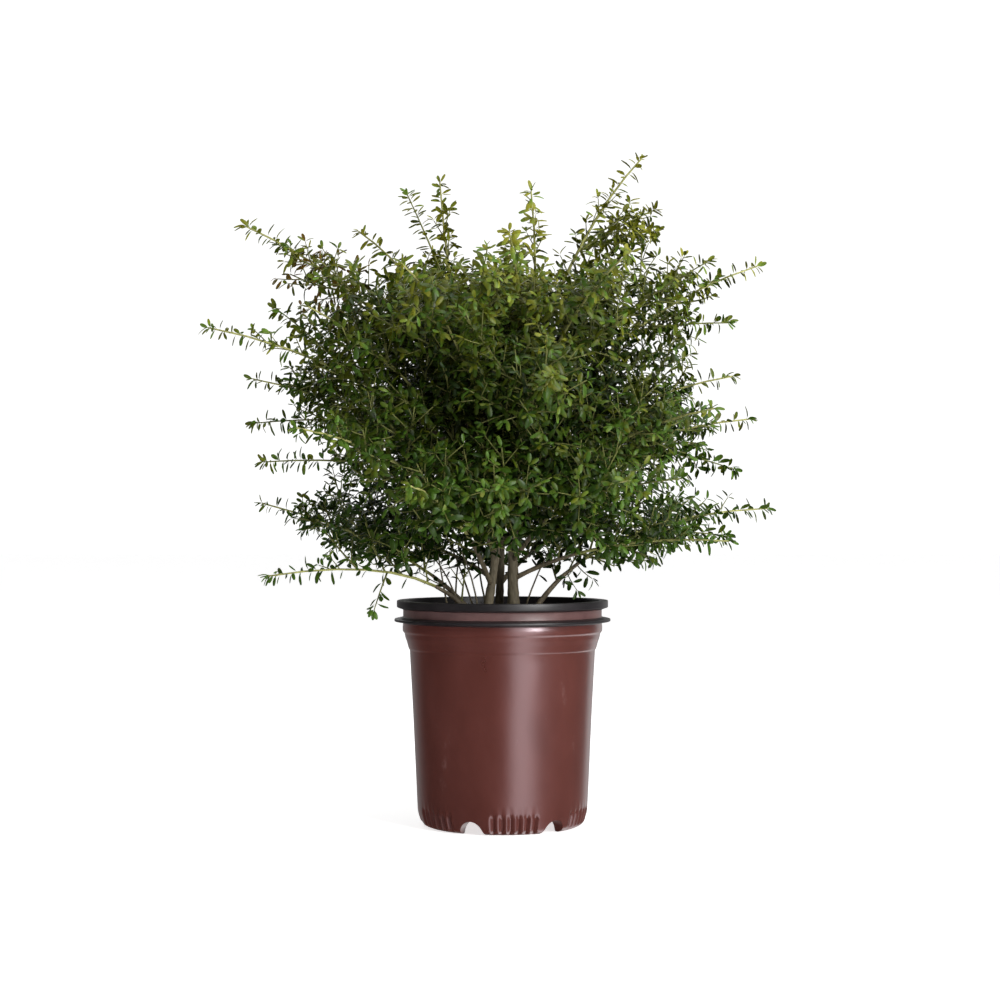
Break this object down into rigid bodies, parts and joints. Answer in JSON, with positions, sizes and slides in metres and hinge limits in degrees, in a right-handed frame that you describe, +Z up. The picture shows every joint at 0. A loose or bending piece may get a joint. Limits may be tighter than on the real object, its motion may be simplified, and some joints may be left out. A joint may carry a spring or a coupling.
{
  "type": "potted holly shrub",
  "caption": "Bushy small-leaved evergreen holly on several stems, growing in a round double-rimmed nursery pot that stands on short feet.",
  "frame": {"origin": "on the ground under the axis of the pot, at the middle of the plant's footprint", "axes": "+Z up, -Y towards the picture's viewer, +X to the picture's right"},
  "size_m": [0.4336, 0.3984, 0.5153],
  "materials": {
    "pot_plastic": "semi-gloss dark reddish-brown moulded plastic, black inside and on the rim's two lips",
    "potting_soil": "dark, crumbly bark potting mix",
    "bark": "grey-brown to olive bark, finely ridged",
    "foliage": "small glossy dark green leaves, yellow-green on the young shoots"
  },
  "bodies": {
    "root": {"bough_high_left": "bark", "bough_high_right": "bark", "bough_long_left": "bark", "bough_low_back": "bark", "bough_low_back_left": "bark", "bough_low_back_right": "bark", "bough_low_front": "bark", "bough_low_front_left": "bark", "bough_low_front_right": "bark", "bough_mid_back_left": "bark", "bough_mid_back_right": "bark", "bough_mid_front": "bark", "bough_mid_front_left": "bark", "bough_mid_front_right": "bark", "bough_mid_left": "bark", "bough_mid_right": "bark", "bough_top_right": "bark", "foliage_high_back_left": "foliage", "foliage_high_back_right": "foliage", "foliage_high_front_left": "foliage", "foliage_high_front_right": "foliage", "foliage_high_left": "foliage", "foliage_high_right": "foliage", "foliage_inner_back_left": "foliage", "foliage_inner_back_right": "foliage", "foliage_inner_front_left": "foliage", "foliage_inner_front_right": "foliage", "foliage_inner_low_front": "foliage", "foliage_long_left": "foliage", "foliage_low_back": "foliage", "foliage_low_back_left": "foliage", "foliage_low_back_right": "foliage", "foliage_low_front": "foliage", "foliage_low_front_left": "foliage", "foliage_low_front_right": "foliage", "foliage_low_left": "foliage", "foliage_low_left_front": "foliage", "foliage_low_right": "foliage", "foliage_mid_back": "foliage", "foliage_mid_back_left": "foliage", "foliage_mid_back_right": "foliage", "foliage_mid_front": "foliage", "foliage_mid_front_left": "foliage", "foliage_mid_front_right": "foliage", "foliage_mid_left": "foliage", "foliage_mid_right": "foliage", "foliage_top_back": "foliage", "foliage_top_front": "foliage", "foliage_top_left": "foliage", "foliage_top_left_outer": "foliage", "foliage_top_middle": "foliage", "foliage_top_right": "foliage", "pot": "pot_plastic", "side_stem_front": "bark", "side_stem_left": "bark", "side_stem_right": "bark", "soil": "potting_soil", "trunk_back": "bark", "trunk_left": "bark", "trunk_right": "bark"}
  },
  "joints": []
}
